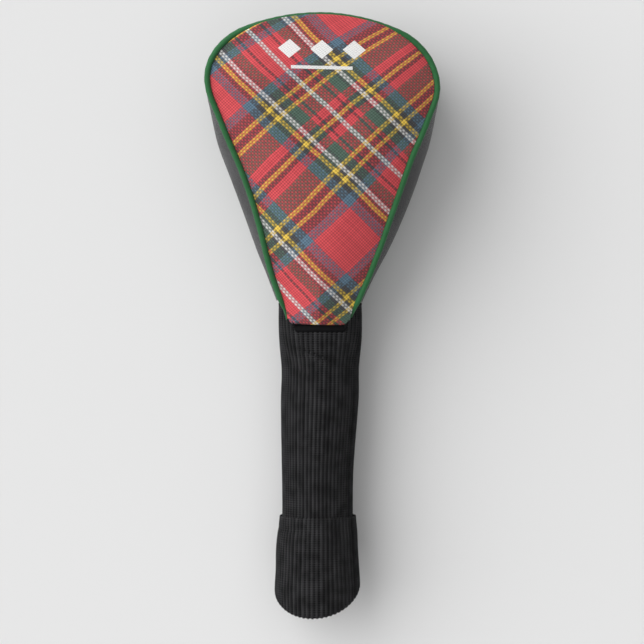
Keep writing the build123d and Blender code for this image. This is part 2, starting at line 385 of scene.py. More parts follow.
class Tree:
    """A material whose nodes are added by short calls."""

    def __init__(self, name, colour, roughness, **inputs):
        self.material = bpy.data.materials.new(name)
        self.material.use_nodes = True
        self.nodes = self.material.node_tree.nodes
        self.links = self.material.node_tree.links
        self.surface = self.nodes["Principled BSDF"]
        self.finish(colour, roughness=roughness)
        for key, value in inputs.items():
            self.surface.inputs[key.replace("_", " ")].default_value = value

    def put(self, socket, value):
        if isinstance(value, bpy.types.NodeSocket):
            self.links.new(value, socket)
        elif socket.type == "RGBA" and value is not None:
            socket.default_value = (*value, 1)
        elif value is not None:
            socket.default_value = value

    def node(self, kind, *values, **settings):
        """A node with its settings. Inputs come in order, or by name in a dictionary."""
        node = self.nodes.new("ShaderNode" + kind)
        for key, value in settings.items():
            setattr(node, key, value)
        named = values and isinstance(values[0], dict)
        for key, value in (values[0] if named else dict(enumerate(values))).items():
            self.put(node.inputs[key], value)
        return node

    def math(self, operation, *values):
        return self.node("Math", *values, operation=operation).outputs[0]

    def add(self, *values):
        return reduce(partial(self.math, "ADD"), values)

    def times(self, *values):
        return reduce(partial(self.math, "MULTIPLY"), values)

    def cloth(self):
        """The place on the flat cloth, which each mesh carries."""
        return self.node("Attribute", attribute_name="cloth").outputs["Vector"]

    def solid(self):
        """The place in the solid object, in metres."""
        return self.node("TexCoord").outputs["Object"]

    def shifted(self, vector, by, operation="ADD"):
        return self.node("VectorMath", vector, by, operation=operation).outputs[0]

    def scaled(self, vector, by):
        return self.node("VectorMath", {0: vector, "Scale": by}, operation="SCALE").outputs[0]

    def stretched(self, vector, by):
        return self.shifted(vector, by, "MULTIPLY")

    def noise(self, vector, scale, detail=3.0, roughness=0.5, output="Fac"):
        inputs = {"Vector": vector, "Scale": scale, "Detail": detail, "Roughness": roughness}
        return self.node("TexNoise", inputs).outputs[output]

    def split(self, vector):
        return self.node("SeparateXYZ", vector).outputs[:]

    def wave(self, turns, low=-1.0, high=1.0):
        """0 to 1, as the sine of that many turns goes from low to high."""
        return self.spread(self.math("SINE", self.times(turns, 2 * pi)), low, high)

    def chance(self, number):
        """A random value for each whole number."""
        return self.node("TexWhiteNoise", {"W": number}, noise_dimensions="1D").outputs["Value"]

    def cells(self, vector, scale):
        """The distance to the nearest border of a cell pattern."""
        inputs = {"Vector": vector, "Scale": scale}
        return self.node("TexVoronoi", inputs, feature="DISTANCE_TO_EDGE").outputs["Distance"]

    def mix(self, factor, one, other):
        """A colour between one and other."""
        node = self.node("Mix", data_type="RGBA")
        sockets = {socket.identifier: socket for socket in node.inputs}
        self.put(sockets["Factor_Float"], factor)
        self.put(sockets["A_Color"], one)
        self.put(sockets["B_Color"], other)
        return node.outputs[2]

    def spread(self, value, low, high, to_low=0.0, to_high=1.0):
        """value, taken from one range to another and held inside it."""
        return self.node("MapRange", value, low, high, to_low, to_high).outputs[0]

    def bands(self, value, stops):
        """A colour that changes sharply at each (place, colour) stop."""
        node = self.node("ValToRGB", value)
        ramp = node.color_ramp
        ramp.interpolation = "CONSTANT"
        while len(ramp.elements) < len(stops):
            ramp.elements.new(1.0)
        for element, (where, colour) in zip(ramp.elements, stops):
            element.position = where
            element.color = (*colour, 1)
        return node.outputs["Color"]

    def relief(self, height, distance, strength=1.0, under=None):
        """A bump of that depth in metres, over another bump."""
        inputs = {"Height": height, "Distance": distance, "Strength": strength, "Normal": under}
        return self.node("Bump", inputs).outputs["Normal"]

    def finish(self, colour=None, normal=None, roughness=None):
        for key, value in ("Base Color", colour), ("Normal", normal), ("Roughness", roughness):
            self.put(self.surface.inputs[key], value)
        return self.material


RED = (0.70, 0.090, 0.104)
BLUE = (0.125, 0.205, 0.280)
GREEN = (0.095, 0.155, 0.120)
BLACK = (0.080, 0.080, 0.085)
YELLOW = (0.90, 0.62, 0.100)
WHITE = (0.98, 0.96, 0.94)
INK = (0.86, 0.86, 0.85)

# Half of each set's repeat, as (yarns, colour).
FALLING_SET = [(1, WHITE), (4, RED), (1, BLACK), (2, RED), (4, GREEN), (1, BLACK), (2, WHITE),
               (1, BLACK), (2, YELLOW), (2, BLACK), (4, BLUE), (10, RED)]
RISING_SET = [(1, YELLOW), (2, BLACK), (4, RED), (8, GREEN), (2, YELLOW), (3, BLACK),
              (2, YELLOW), (4, BLACK), (4, BLUE), (10, RED)]
# Yarns for each millimetre across the panel and along it, and the count at COUNT_AT.
FALLING_COUNT = (0.489, 0.534)
FALLING_START = -5.1
RISING_COUNT = (-0.518, 0.584)
RISING_START = 3.0
RISING_PULL = (0.00179, 0.0000124)  # closer towards the crown
COUNT_AT = (0.0, 118.0)
YARN_RADIUS = 0.42  # in yarn spacings
CRIMP = 0.25
HEATHER = 0.16  # share of the yarn below that shows
BLUR = 0.60  # in height
WAVER, WAVER_SIZE = 1.6, 0.045  # how far and how closely the yarns stray
BAR_AT, BAR_HALF_SIZE = (0, 147.0), (17, 0.9)
LOZENGE_AT, LOZENGE_SPACING, LOZENGE_HALF_SIZE = 157.0, 18, (6.4, 5.2)


def yarns(tree, place_uv, count, start, stripes):
    """A set of yarns: number, distance from the middle, colour and shade."""
    across = tree.node("VectorMath", place_uv, (*count, 0), operation="DOT_PRODUCT")
    steady = tree.add(across.outputs["Value"], start)
    number = tree.math("FLOOR", steady)
    off = tree.math("SUBTRACT", tree.math("FRACT", steady), 0.5)
    half = sum(width for width, _ in stripes)
    folded = tree.math("PINGPONG", tree.math("ADD", number, 0.5), half)
    ends = np.cumsum([width for width, _ in stripes])
    stops = [((end - width) / half, colour) for end, (width, colour) in zip(ends, stripes)]
    return number, off, tree.bands(tree.math("DIVIDE", folded, half), stops), tree.chance(number)


def yarn_height(tree, off, along, over):
    """The height of a yarn's surface. over is 1 where it crosses on top, or -1."""
    wave = tree.times(over, CRIMP, tree.math("COSINE", tree.times(along, pi)))
    left = tree.math("SUBTRACT", YARN_RADIUS**2, tree.times(off, off))
    return tree.add(wave, tree.math("SQRT", tree.math("MAXIMUM", left, 0.0)))


def printed_mark(tree, cloth):
    """1 inside the plain white mark on the front panel: three lozenges over a thin bar."""
    def inside(joined, centre, half_size):
        shares = []
        for at, middle, half in zip(tree.split(cloth), centre, half_size):
            off = tree.math("ABSOLUTE", tree.math("SUBTRACT", at, middle))
            shares.append(tree.math("DIVIDE", off, half))
        return tree.math("LESS_THAN", tree.math(joined, *shares), 1.0)

    mark = inside("MAXIMUM", BAR_AT, BAR_HALF_SIZE)
    for x in (-LOZENGE_SPACING, 0, LOZENGE_SPACING):
        one = inside("ADD", (x, LOZENGE_AT), LOZENGE_HALF_SIZE)
        mark = tree.math("MAXIMUM", mark, one)
    return mark


def check_cloth():
    """Plain-woven check cloth, set on the bias, with a printed mark and painted shade in the gaps
    between its yarns.
    """
    tree = Tree("check_cloth", RED, 0.9, Sheen_Weight=0.06, Sheen_Roughness=0.5,
                Specular_IOR_Level=0.25)
    cloth = tree.cloth()
    waver = tree.shifted(tree.noise(cloth, WAVER_SIZE, 2.0, output="Color"), (-0.5, -0.5, -0.5))
    from_start = tree.shifted(cloth, (-COUNT_AT[0], -COUNT_AT[1], 0))
    place_uv = tree.shifted(from_start, tree.scaled(waver, WAVER))
    up = tree.split(from_start)[1]
    pull = tree.times(up, up, tree.add(RISING_PULL[0], tree.times(up, RISING_PULL[1])))

    one, one_off, one_colour, one_shade = yarns(
        tree, place_uv, FALLING_COUNT, FALLING_START, FALLING_SET)
    two, two_off, two_colour, two_shade = yarns(
        tree, place_uv, RISING_COUNT, tree.add(pull, RISING_START), RISING_SET)
    over = tree.math("COSINE", tree.times(tree.add(one, two), pi))
    one_height = yarn_height(tree, one_off, two_off, over)
    two_height = yarn_height(tree, two_off, one_off, tree.times(over, -1.0))
    height = tree.math("MAXIMUM", one_height, two_height)
    upper = tree.math("SUBTRACT", two_height, one_height)
    colour = tree.mix(tree.spread(upper, -BLUR, BLUR, HEATHER, 1 - HEATHER), one_colour, two_colour)
    shade = tree.times(tree.add(one_shade, two_shade), 0.5)
    # Unlike yarns grey each other where they cross.
    unlike = tree.node("VectorMath", one_colour, two_colour, operation="DISTANCE")

    fibre = tree.noise(cloth, 2.6, 4.0, 0.7)
    patch = tree.noise(cloth, 0.06)
    light = tree.add(
        0.66, tree.times(shade, 0.26), tree.times(fibre, 0.34), tree.times(patch, 0.14))
    # Painted shade: the factor on height darkens the yarns' sides and the gaps between them.
    light = tree.times(light, tree.spread(height, 0.26, 0.62, 0.60, 1.06),
                       tree.spread(unlike.outputs["Value"], 0.1, 0.7, 1.0, 0.78))
    ink = tree.times(printed_mark(tree, cloth), tree.spread(height, 0.15, 0.45, 0.80, 0.97))
    colour = tree.mix(ink, tree.scaled(colour, light), INK)
    fuzz = tree.relief(fibre, 0.00012, 0.6)
    return tree.finish(colour, tree.relief(height, 0.0004, 0.6, fuzz))


def leatherette():
    """Black pebble-grain leatherette, lighter in broad patches, with a painted sheen on its high
    grains and painted shade in the crevices between them.
    """
    tree = Tree("leatherette", (0.05, 0.05, 0.054), 0.45, Specular_IOR_Level=0.28)
    grains, pores, patches = 1050.0, 2600.0, 28.0  # in each metre
    place_xyz = tree.solid()
    warp = tree.scaled(tree.noise(place_xyz, 260.0, output="Color"), 0.0011)
    pebble = tree.spread(tree.cells(tree.shifted(place_xyz, warp), grains), 0.0, 0.30)
    pitted = tree.noise(place_xyz, pores, 2.0)
    broad = tree.noise(place_xyz, patches)
    # Painted sheen and shade: the grains are coloured greyer on top and darker in the crevices
    # between them.
    colour = tree.mix(pebble, (0.010, 0.010, 0.011), (0.078, 0.078, 0.082))
    colour = tree.mix(tree.spread(broad, 0.35, 0.75, 0.0, 0.4), colour, (0.095, 0.095, 0.100))
    rough = tree.spread(pebble, 0.0, 1.0, 0.42, 0.26)
    fine = tree.relief(pitted, 0.00002, 0.3)
    return tree.finish(colour, tree.relief(pebble, 0.00028, 0.8, fine), rough)


def piping_cloth():
    """Green twill, cut on the bias and wrapped round the piping's cord."""
    tree = Tree("piping_cloth", (0.012, 0.150, 0.035), 0.72, Sheen_Weight=0.08)
    along, round_it, _ = tree.split(tree.cloth())
    twill = tree.wave(tree.times(tree.add(along, round_it), 1.05))
    weave = tree.wave(tree.times(tree.math("SUBTRACT", along, round_it), 1.3))
    height = tree.add(tree.times(twill, 0.7), tree.times(weave, 0.3))
    broad = tree.noise(tree.cloth(), 0.12)
    # Painted shade: the twill's furrows are coloured darker than its ridges.
    colour = tree.mix(height, (0.005, 0.075, 0.018), (0.013, 0.150, 0.036))
    colour = tree.mix(tree.spread(broad, 0.3, 0.8, 0.0, 0.45), colour, (0.020, 0.175, 0.048))
    return tree.finish(colour, tree.relief(height, 0.00012, 0.8))


def rib_knit():
    """Black rib knit, with painted shade in its valleys, between its loops and in its holes. The
    cloth attribute counts ribs in X and stitches in Y.
    """
    tree = Tree("rib_knit", (0.012, 0.012, 0.013), 0.9, Sheen_Weight=0.05, Sheen_Roughness=0.4,
                Specular_IOR_Level=0.08)
    cloth = tree.cloth()
    rib, stitch, _ = tree.split(cloth)
    middle = tree.add(rib, 0.5)
    off = tree.math("ABSOLUTE", tree.math("SUBTRACT", tree.math("FRACT", middle), 0.5))
    slanted = tree.math("SUBTRACT", stitch, tree.times(off, STITCH_SLANT))
    loop = tree.wave(slanted, high=0.6)
    ridge = tree.spread(tree.math("COSINE", tree.times(off, 2 * pi)), -1.0, 1.0)
    # Holes between the ribs, and fainter ones between the legs of each stitch, sunk in the relief
    # and darkened in the tone as painted shade.
    between = tree.spread(off, 0.20, 0.36)
    legs = tree.spread(off, 0.16, 0.04, 0.0, 0.55)
    pulse = tree.wave(stitch, -0.25, 0.25)
    hole = tree.times(tree.math("MAXIMUM", between, legs), pulse)
    fibre = tree.noise(tree.stretched(cloth, (7.0, 2.6, 1.0)), 1.3, 4.0, 0.7)
    worn = tree.noise(tree.stretched(cloth, (0.35, 0.16, 1.0)), 1.0)
    height = tree.add(tree.times(loop, ridge, 0.8), tree.times(fibre, 0.35), tree.times(hole, -0.7))
    # The tone is partly painted shade, darker in the rib valleys, between the stitches' loops and
    # in the holes, and partly random, by fibre, rib and broad patch.
    tone = tree.times(tree.add(0.52, tree.times(ridge, 0.12), tree.times(loop, 0.36)),
                      tree.spread(fibre, 0.3, 0.7, 0.5, 1.3),
                      tree.math("SUBTRACT", 1.0, tree.times(hole, 0.97)),
                      tree.spread(tree.chance(tree.math("FLOOR", middle)), 0.0, 1.0, 0.75, 1.2),
                      tree.spread(worn, 0.35, 0.65, 0.6, 1.35))
    colour = tree.mix(tone, (0.0006, 0.0006, 0.0008), (0.041, 0.041, 0.043))
    return tree.finish(colour, tree.relief(height, 0.00035, 0.9))


def plain_weave(name, colour, pale, scale, roughness=0.85):
    """A finely woven plain cloth, tape or elastic."""
    tree = Tree(name, colour, roughness, Specular_IOR_Level=0.15)
    waves = [tree.math("SINE", tree.times(at, scale)) for at in tree.split(tree.solid())]
    height = tree.times(tree.add(waves[0], waves[2]), waves[1])
    grain = tree.noise(tree.solid(), 900.0)
    # Painted shade: the weave's low places are coloured darker, with random grain mixed in.
    tone = tree.spread(tree.add(height, grain), -1.5, 2.5)
    return tree.finish(tree.mix(tone, colour, pale), tree.relief(tone, 0.00015, 0.7))


def fleece_cloth():
    """Black brushed fleece."""
    tree = Tree("fleece", (0.05, 0.05, 0.055), 0.95, Sheen_Weight=0.4, Sheen_Roughness=0.6)
    nap = tree.noise(tree.solid(), 1500.0, 5.0, 0.75)
    tuft = tree.noise(tree.solid(), 260.0)
    tone = tree.add(tree.times(nap, 0.6), tree.times(tuft, 0.4))
    colour = tree.mix(tree.spread(tone, 0.3, 0.7), (0.016, 0.016, 0.018), (0.060, 0.060, 0.066))
    return tree.finish(colour, tree.relief(tone, 0.0005, 0.8))


def foam_padding():
    """Open-cell foam, a little yellowed."""
    tree = Tree("padding", (0.80, 0.78, 0.70), 0.9, Subsurface_Weight=0.1)
    wall = tree.spread(tree.cells(tree.solid(), 1400.0), 0.0, 0.2)
    aged = tree.noise(tree.solid(), 30.0)
    # Painted shade: the sunken pores are coloured darker than the cell walls between them.
    colour = tree.mix(wall, (0.86, 0.84, 0.76), (0.66, 0.63, 0.52))
    colour = tree.mix(tree.spread(aged, 0.4, 0.8, 0.0, 0.4), colour, (0.78, 0.70, 0.48))
    return tree.finish(colour, tree.relief(wall, -0.0003, 0.8))


check = check_cloth()
leather = leatherette()
piping_green = piping_cloth()
knit = rib_knit()
fleece = fleece_cloth()
padding = foam_padding()
# The binding's black is made darker still to stand in for the tongue's shadow on the knit below it:
# partly its own colour, partly painted shadow.
tape_black_and_shadow, tape_pale = (0.0015, 0.0015, 0.002), (0.005, 0.005, 0.0055)
binding_cloth = plain_weave("binding_cloth", tape_black_and_shadow, tape_pale, 9000.0)
elastic = plain_weave("elastic", (0.010, 0.010, 0.011), (0.045, 0.045, 0.047), 4500.0, 0.7)
cord_cotton = plain_weave("filler_cord", (0.62, 0.60, 0.54), (0.88, 0.86, 0.80), 5200.0)

# ---- shell ----


def front_dome(distance, rise):
    """Height of the front's padding at a distance from its seam."""
    return rise * np.sin(np.clip(distance / FRONT_REACH, 0, 1) * pi / 2)


def back_dome(distance, rise):
    """Depth of the back panel, whose middle is flat."""
    return rise * np.sqrt(1 - (1 - np.clip(distance / BACK_REACH, 0, 1)) ** 2)


def near_mouth(v):
    """1 at the mouth, 0 past the tongue."""
    return np.clip(1 - v / TONGUE_LENGTH, 0, 1)


def mouth_dip(v, distance):
    """How far the front panel comes down to the sock."""
    return TONGUE_DIP * near_mouth(v) ** 1.5 * np.clip(distance / DIP_REACH, 0, 1)


def tongue_shape(x, v, inset):
    """How far the end of a panel is drawn along v."""
    corner_from = MOUTH_HALF_WIDTH - inset - TONGUE_CORNER
    into_corner = np.clip(x - corner_from, 0, TONGUE_CORNER * TONGUE_ROUNDED)
    corner = TONGUE_CORNER - np.sqrt(TONGUE_CORNER**2 - into_corner**2)
    bow = TONGUE_BOW * (1 - (x / MOUTH_HALF_WIDTH) ** 2)
    return (corner - bow + TONGUE_DRAWN) * near_mouth(v) ** 2


def panel_flat(inset, recess, rows, columns):
    """A panel's grid, from its edge to its middle, and the ways out of its edge."""
    edge, out = half_pear(rows, recess)
    edge = edge - out * pressed(inset, edge[:, 1], 0)[:, None]
    edge[-1, 0] = 0
    knee = SPINE_KNEE * panel_length
    easing = SPINE_EASING * panel_length
    beyond = np.maximum(edge[:, 1] - knee, 0)
    spine_v = np.minimum(edge[:, 1], knee) + easing * (1 - np.exp(-beyond / easing))
    spine = np.stack([np.zeros(rows), spine_v], 1)
    step = np.linspace(0, 1, columns)[None, :, None] ** EDGE_CROWDING
    return edge[:, None] * (1 - step) + spine[:, None] * step, out


def gap_to_edge(flat, inset):
    """The distance from each point of a panel's grid to its seam."""
    outline, out = half_pear(OUTLINE_POINTS)
    outline = outline - out * pressed(inset, outline[:, 1], 0)[:, None]
    gaps = norm(flat.reshape(-1, 1, 2) - outline[None], axis=2)
    return gaps.min(axis=1).reshape(flat.shape[:2])


def flattened(x, v, height, middle_v):
    """Where each point lies on the panel's cloth once that is laid flat."""
    step = np.diff(np.stack([x, v, height], -1), axis=1)
    from_edge, flat_run = [
        np.cumsum(np.pad(norm(part, axis=2), ((0, 0), (1, 0))), axis=1)
        for part in (step, step[..., :2])
    ]
    longer = (from_edge[:, -1:] - from_edge) / np.maximum(flat_run[:, -1:] - flat_run, 1e-6)
    longer[:, -1] = 1
    return np.stack([x * longer, middle_v + (v - middle_v) * longer, height * 0], -1)


def mirrored(points):
    """A right half and its mirror image, which share their last column."""
    return np.concatenate([points, (points * [-1, 1, 1])[:, -2::-1]], 1)


def front_layer(inset, recess, rows=190, columns=48):
    """The front panel's surface, moved inwards by inset, and its place on the flat cloth."""
    flat, out = panel_flat(inset, recess, rows, columns)
    distance = gap_to_edge(flat, inset)
    x, v = flat[..., 0], flat[..., 1]
    middle_v = v[:, -1:]
    height = front_dome(distance, FRONT_RISE - pressed(inset, v, 0))
    crown = 1 - ease(flat[:, :1, 0], *CROWN_ACROSS)
    crown = CROWN_BULGE * crown * ease(flat[:, :1, 1] / panel_length, *CROWN_ALONG)
    lean = crown * distance / CROWN_LEAN_AT * np.exp(1 - distance / CROWN_LEAN_AT)
    x = x + lean * out[:, None, 0]
    v = v + lean * out[:, None, 1]
    grow, fade = [np.exp(-distance / reach) for reach in CROWN_LIFT_REACH]
    height = height + CROWN_LIFT * crown * (1 - grow) * fade - mouth_dip(v, distance)
    height = height + ripple(x, v, *FRONT_WAVES) * np.clip(distance / WAVES_GROW, 0, 1)
    v = v + tongue_shape(x, v, inset) + height * np.tan(front_tilt) * near_mouth(v)
    cloth = flattened(x, v, height, middle_v)
    points = place(x, v, height, front_seam_z, front_tilt)
    return mirrored(points), mirrored(cloth)


def back_layer(inset, recess, rows=150, columns=40):
    """The back panel's surface, moved inwards by inset."""
    flat, _ = panel_flat(inset, recess, rows, columns)
    distance = gap_to_edge(flat, inset)
    x, v = flat[..., 0], flat[..., 1]
    height = back_dome(distance, back_seam_z - pressed(inset, v, 0))
    points = place(x, v + tongue_shape(x, v, inset), -height, back_seam_z, 0.0)
    return mirrored(points), None


def gusset_layer(inset, recess, rows=230, columns=40):
    """The right gusset's surface, from the back seam to the front one, moved in by inset."""
    base, out = half_pear(rows, SIDE_MOUTH + recess)
    up = np.linspace(0, 1, columns)[None, :]
    swell = 4 * up * (1 - up) * through(GUSSET_SWELLS, base[:, 1:])
    swell = swell - pressed(inset, base[:, 1:], SIDE_MOUTH)
    x, v = np.moveaxis(base[:, None] + out[:, None] * swell[..., None], -1, 0)
    points = place(x, v, 0, back_seam_z + up * wall_height, up * front_tilt)
    along = run_of(base)[:, None]
    seam_gap = np.minimum(up, 1 - up) * wall_height
    off_seam = seam_gap > 0
    pucker = np.sin(along / PUCKER_SPACING + ripple(along, up, *PUCKER_SHIFT))
    pucker = PUCKER * pucker * np.exp(-seam_gap / PUCKER_REACH)
    slack = ripple(along, up * GUSSET_SPAN, *GUSSET_WAVES) * np.clip(seam_gap / WAVES_GROW, 0, 1)
    crown_seam = -CROWN_SEAM[0] * np.exp(-(((along[-1] - along) / CROWN_SEAM[1]) ** 2))
    points[..., 0] = np.maximum(points[..., 0] + (pucker + slack) * off_seam, 0)
    points[..., 1] += crown_seam * off_seam
    points[-1, :, 0] = 0
    return points, None


def cut_size(skin, fanned):
    """A skin's flat size and area, in metres. fanned: its rows fan out to the crown."""
    across = norm(np.diff(skin, axis=1), axis=2).sum(axis=1)
    along = run_of(skin[:, skin.shape[1] // 2])[-1] + (across[-1] / 2 if fanned else 0)
    corners = np.cross(skin[1:, 1:] - skin[:-1, :-1], skin[1:, :-1] - skin[:-1, 1:])
    return (across.max() / MM, along / MM), norm(corners, axis=2).sum() / 2 / MM**2


def layer_piece(name, layer, surface, at_crown, node, material, slot, side):
    """One closed layer of the wall. at_crown: its last row is a border too."""
    shape = Shape()
    skins = []
    for inset in LAYERS[layer]:
        points, cloth = surface(inset, 0.0 if layer == "cloth" else RECESS)
        skins.append(shape.grid(turned_shell(points * [side, 1, 1]), cloth))
        if inset == 0:
            flat, area = cut_size(points, not at_crown)
    outer, inner = skins
    for border in [np.s_[0], np.s_[:, 0], np.s_[:, -1]] + [np.s_[-1]] * at_crown:
        shape.join(outer[border], inner[border])
    piece = shape.piece(f"{name}_{layer}", material, slot, "shell", node)


def tube_along(shape, path, radius, up, sides=PIPING_SIDES):
    """A closed tube along a path."""
    way = np.gradient(path, axis=0)
    way /= norm(way, axis=1)[:, None]
    out = np.cross(way, up)
    out /= norm(out, axis=1)[:, None]
    over = np.cross(out, way)
    angle = np.linspace(0, 2 * pi, sides, endpoint=False)[:, None]
    ring = out[:, None] * np.cos(angle) + over[:, None] * np.sin(angle)
    cloth = stacked(run_of(path)[:, None], angle.T * piping_radius, 0.0)
    index = shape.grid(path[:, None] + radius[..., None] * ring, cloth, closed=True)
    for end in (0, -1):
        rim = index[end, :-1]
        caps = [[rim[k], rim[k + 1], rim[-2 - k], rim[-1 - k]] for k in range(sides // 2 - 1)]
        shape.faces.append(np.array(caps))


def piping_pieces(name, seam_z, tilt, sink):
    """A piping's cover and the cord in it."""
    base, out = half_pear(PIPING_POINTS, PIPING_FROM)
    tuck = ease(base[:, 1], *TUCK_ALONG)
    line = base + out * (piping_radius * (1 - TUCK_IN * tuck))[:, None]
    right = place(line[:, 0], line[:, 1], sink * tuck, seam_z, tilt)
    path = turned_shell(np.vstack([right, (right * [-1, 1, 1])[-2::-1]]))
    along = run_of(path)[:, None]
    round_it = np.linspace(0, 4 * pi, PIPING_SIDES, endpoint=False)[None, :]
    height, spacing = PIPING_CREASE
    crease = height * np.sin(along / spacing + ripple(along, round_it, *PIPING_SHIFT))
    crease = crease + ripple(along, round_it, *PIPING_WAVES)
    slim = 1 - TUCK_SLIM * np.concatenate([tuck, tuck[-2::-1]])[:, None]
    up = np.array([0, -sin(tilt), cos(tilt)])
    cover = Shape()
    tube_along(cover, path, (piping_radius - PIPING_SLACK + crease) * slim, up)
    cover.piece(name, piping_green, "piping_cloth", "shell", name + "_cover")
    filler = Shape()
    inner = slice(CORD_SHORT, -CORD_SHORT)
    thickness = np.broadcast_to(CORD_RADIUS * slim, crease.shape)
    tube_along(filler, path[inner], thickness[inner], up)
    filler.piece(name + "_filler", cord_cotton, "filler_cord", "shell", name + "_cord")


LAYER_LOOKS = {
    "cloth": ("", None, None),
    "padding": ("_foam", padding, "padding"),
    "fleece": ("_lining", fleece, "lining"),
}
SURFACES = (
    ("front", front_layer, False, "front_panel", check, "check_cloth", 1),
    ("back", back_layer, False, "back_panel", leather, "leatherette", 1),
    ("left_gusset", gusset_layer, True, "left_gusset", leather, "leatherette", -1),
    ("right_gusset", gusset_layer, True, "right_gusset", leather, "leatherette", 1),
)
for layer, (ending, inner_material, inner_slot) in LAYER_LOOKS.items():
    for name, surface, at_crown, node, face, face_slot, side in SURFACES:
        looks = (inner_material or face, inner_slot or face_slot)
        layer_piece(name, layer, surface, at_crown, node + ending, *looks, side)

piping_pieces("front_piping", front_seam_z, front_tilt, -TUCK_DEPTH)
piping_pieces("back_piping", back_seam_z, 0.0, TUCK_DEPTH)

# ---- sock ----


def from_side(angle):
    """Degrees from an angle round the sock to the nearer side."""
    return np.degrees(np.arctan2(np.abs(np.sin(angle)), np.abs(np.cos(angle))))


def mouth_edge(angle):
    """Distance from the mouth to the shell's edge: the gussets end above the tongues."""
    return -SIDE_MOUTH * ease(from_side(angle), 58, 48)


def room_in_shell(angle, v):
    """The radius left inside the shell at each angle, at one v."""
    base, _ = half_pear(300)
    edge_x = np.interp(v, base[:, 1], base[:, 0])
    up = np.linspace(0, 1, 41)
    front_z = front_seam_z + v * sin(front_tilt)
    side_x = edge_x + 4 * up * (1 - up) * through(GUSSET_SWELLS, v)
    side = np.stack([side_x, back_seam_z + up * (front_z - back_seam_z)], 1)
    top_x = np.linspace(edge_x, 0, 30)[1:]
    top_z = front_z + front_dome(edge_x - top_x, FRONT_RISE) - mouth_dip(v, edge_x - top_x)
    low_x = np.linspace(0, edge_x, 30)[:-1]
    low_z = back_seam_z - back_dome(edge_x - low_x, back_seam_z)
    loop = np.vstack([np.stack([low_x, low_z], 1), side, np.stack([top_x, top_z], 1)])
    turned = np.arctan2(loop[:, 1] - axis_z, loop[:, 0])
    reach = np.hypot(loop[:, 0], loop[:, 1] - axis_z)
    folded = np.arctan2(np.sin(angle), np.abs(np.cos(angle)))
    return np.interp(folded, turned, reach) - float(pressed(WALL, v, 0)) - SOCK_SPARE


ROOM_TURNS = np.linspace(-pi, pi, 361)
ROOM = np.stack([room_in_shell(ROOM_TURNS, float(v)) for v in range(ROOM_DEPTH)])


def room_at(angle, v):
    """The radius left inside the shell, at any angles and v."""
    v, angle = np.broadcast_arrays(np.clip(v, 0, len(ROOM) - 1.001), angle)
    row = v.astype(int)
    column = (((angle + pi) % (2 * pi)) / (2 * pi) * (len(ROOM_TURNS) - 1)).astype(int)
    return ROOM[row, column] * (1 - (v - row)) + ROOM[row + 1, column] * (v - row)


def rib_relief(turns, along):
    """Height of the knit's ribs and stitches."""
    off = np.abs((turns * RIBS + 0.5) % 1 - 0.5)
    ridge = 0.5 + 0.5 * np.cos(2 * pi * off)
    stitch = np.cos(2 * pi * (along / STITCH - STITCH_SLANT * off))
    return RIB_HEIGHT * (ridge**RIB_ROUNDNESS - 1) + STITCH_HEIGHT * stitch * ridge


def crease(x, d, start, end, width, depth):
    """A short fold in the knit, with a soft lip on its lower side."""
    start, end = np.array(start), np.array(end)
    length = norm(end - start)
    way = (end - start) / length
    along = (x - start[0]) * way[0] + (d - start[1]) * way[1]
    off = (x - start[0]) * -way[1] + (d - start[1]) * way[0]
    past = np.maximum(-along, 0) + np.maximum(along - length, 0)
    middle = np.sin(pi * np.clip(along / length, 0, 1))
    fold = np.exp(-((off / width) ** 2))
    lip = 0.6 * np.exp(-(((off - 2.2 * width) / (1.6 * width)) ** 2))
    return depth * (lip - fold) * np.exp(-((past / 3) ** 2)) * (0.35 + 0.65 * middle)


def sock_radius(angle, d):
    """The sock's radius: square-ish where the mouth holds it, narrower inside the shell."""
    squareness = 2 + ease(d, SQUARE_TO, SQUARE_FROM)
    sides = np.abs(np.cos(angle)) ** squareness + np.abs(np.sin(angle)) ** squareness
    radius = through(SOCK_RADII, d) / sides ** (1 / squareness)
    edge = mouth_edge(angle)
    inside = ease(d, edge + 2.5, edge - 0.5)
    return radius - inside * np.maximum(radius - room_at(angle, -d), 0)


def round_axis(radius, angle, d):
    """Points at that radius from the sock's leaning axis, kept off the floor."""
    z = np.maximum(axis_z + radius * np.sin(angle), FLOOR_GAP)
    x = through(LEAN, d) + radius * np.cos(angle)
    return stacked(x, mouth_y - d, z)


def sock_points(turns, d, inset=0.0, relief=True):
    """The sock's surface at turns round it and distances down it."""
    angle = 2 * pi * turns
    radius = sock_radius(angle, d)
    x = radius * np.cos(angle)
    front = np.clip(np.sin(angle), 0, 1)
    uneven = ease(d, *WAVES_FROM) * ease(d, *SMOOTH_FROM)
    radius = radius + ripple(d, turns * SOCK_ROUND, *SOCK_WAVES) * uneven
    for one in CREASES:
        radius = radius + front * crease(x, d, *one)
    if relief:
        fade = RIBS_PRESSED + (1 - RIBS_PRESSED) * ease(d - mouth_edge(angle), *RIBS_FROM)
        radius = radius + rib_relief(turns, d) * fade
    return round_axis(radius - inset, angle, d)


def round_turns(columns):
    return np.arange(columns)[None, :] / columns


def down_rows(start, end, step):
    return np.linspace(start, end, int(round((end - start) / step)) + 1)[:, None]


def knit_cloth(turns, along):
    return stacked(turns * RIBS, along / STITCH, 0.0)


def sock_end(turns, d):
    """d, with the sock's hidden end drawn up to follow the slanted hem."""
    end = hem_at(2 * pi * turns) - CUFF_TRAVEL - SOCK_SHORT
    end = np.maximum(end, CUFF_TOP + SOCK_OVERLAP)
    share = (end - SOCK_SLANT_FROM) / (SOCK_HIDDEN_END - SOCK_SLANT_FROM)
    return d + (share - 1) * np.maximum(d - SOCK_SLANT_FROM, 0)


